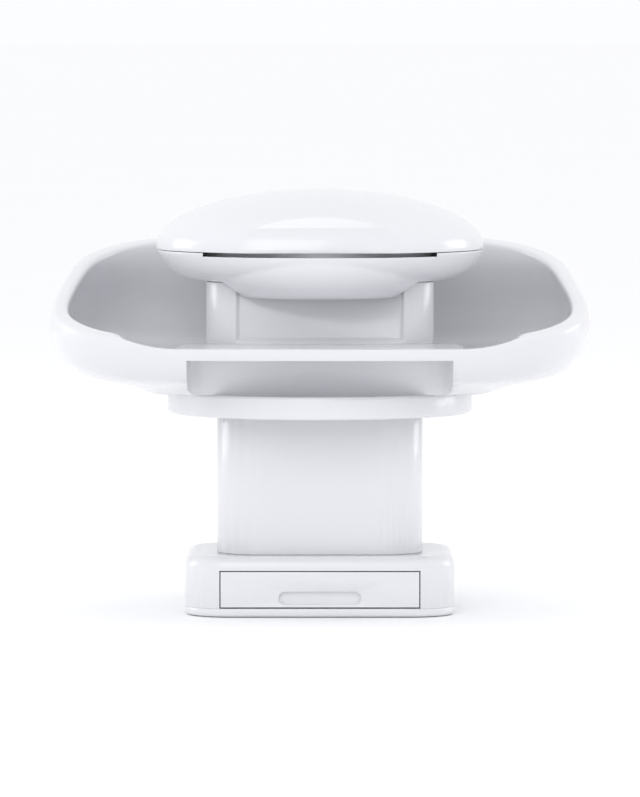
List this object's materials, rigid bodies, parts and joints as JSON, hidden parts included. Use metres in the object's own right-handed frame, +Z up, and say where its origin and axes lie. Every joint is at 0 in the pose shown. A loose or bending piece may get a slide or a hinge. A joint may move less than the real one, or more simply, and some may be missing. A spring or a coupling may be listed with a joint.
{
  "type": "fountain submersible pump",
  "caption": "White waterfall pump unit for a globe bowl: lens cap with a mouth slot over a wide tilted dish, round collar, column and intake base, with a rim hanger behind.",
  "frame": {"origin": "middle of the unit's outline, on the underside of the base", "axes": "+Z up, -Y to the front where the water falls, +X to the right seen from the front"},
  "size_m": [0.1447, 0.1094, 0.113],
  "materials": {
    "white_shell": "gloss white injection moulding",
    "motor_plastic": "satin dark grey moulding",
    "black_seal": "matt black rubber",
    "screw_steel": "stainless",
    "core_steel": "laminated electrical steel",
    "copper_wire": "enamelled copper wire",
    "filter_foam": "open-cell filter foam",
    "carbon_felt": "activated carbon felt",
    "white_ceramic": "polished ceramic",
    "ferrite_magnet": "sintered ferrite",
    "clear_lens": "clear polycarbonate",
    "lamp_board": "white solder mask",
    "lamp_led": "phosphor window",
    "wire_jacket": "wire insulation",
    "soft_pad": "soft translucent grey",
    "gland_plastic": "satin nylon",
    "impeller_plastic": "acetal, blue",
    "riser_plastic": "translucent tube"
  },
  "bodies": {
    "unit": {"base_cover": "white_shell", "base_housing": "white_shell", "base_screws": "screw_steel", "column_housing": "white_shell", "lamp_housing": "white_shell", "lamp_lens": "clear_lens", "led_board": "lamp_board", "leds": "lamp_led", "led_leads": "wire_jacket", "dish": "white_shell", "dish_seal": "black_seal", "dish_screws": "screw_steel", "neck_shell": "white_shell", "cap_tray": "white_shell", "tray_screws": "screw_steel", "motor_housing": "motor_plastic", "motor_cover": "motor_plastic", "motor_core": "core_steel", "coil_bobbin": "lamp_board", "coil_winding": "copper_wire", "pump_shaft": "white_ceramic", "front_bush": "black_seal", "rear_bush": "black_seal", "pump_chamber": "motor_plastic", "chamber_seal": "black_seal", "chamber_cover": "motor_plastic", "pump_screws": "screw_steel", "riser_seal": "black_seal", "riser_tube": "riser_plastic", "hanger": "white_shell", "hanger_pads": "soft_pad", "hanger_screws": "screw_steel", "cord_gland": "gland_plastic", "gland_nut": "gland_plastic", "pump_leads": "wire_jacket"},
    "rotor": {"rotor_magnet": "ferrite_magnet", "impeller": "impeller_plastic"},
    "cap": {"cap_dome": "white_shell"},
    "drawer": {"filter_drawer": "white_shell", "filter_sponge": "filter_foam", "carbon_pad": "carbon_felt"},
    "dial": {"flow_dial": "impeller_plastic"}
  },
  "joints": [
    {"name": "rotor_spin", "type": "hinge", "parent": "unit", "child": "rotor", "pos_m": [0, 0, 0.034], "axis": [0, 1, 0], "continuous": true},
    {"name": "cap_lift", "type": "slide", "parent": "unit", "child": "cap", "axis": [0, 0, 1], "range_m": [0, 0.025]},
    {"name": "drawer_slide", "type": "slide", "parent": "unit", "child": "drawer", "axis": [0, -1, 0], "range_m": [0, 0.04]},
    {"name": "dial_turn", "type": "hinge", "parent": "unit", "child": "dial", "pos_m": [0, 0, 0.034], "axis": [0, -1, 0], "range_deg": [0, 60]}
  ]
}
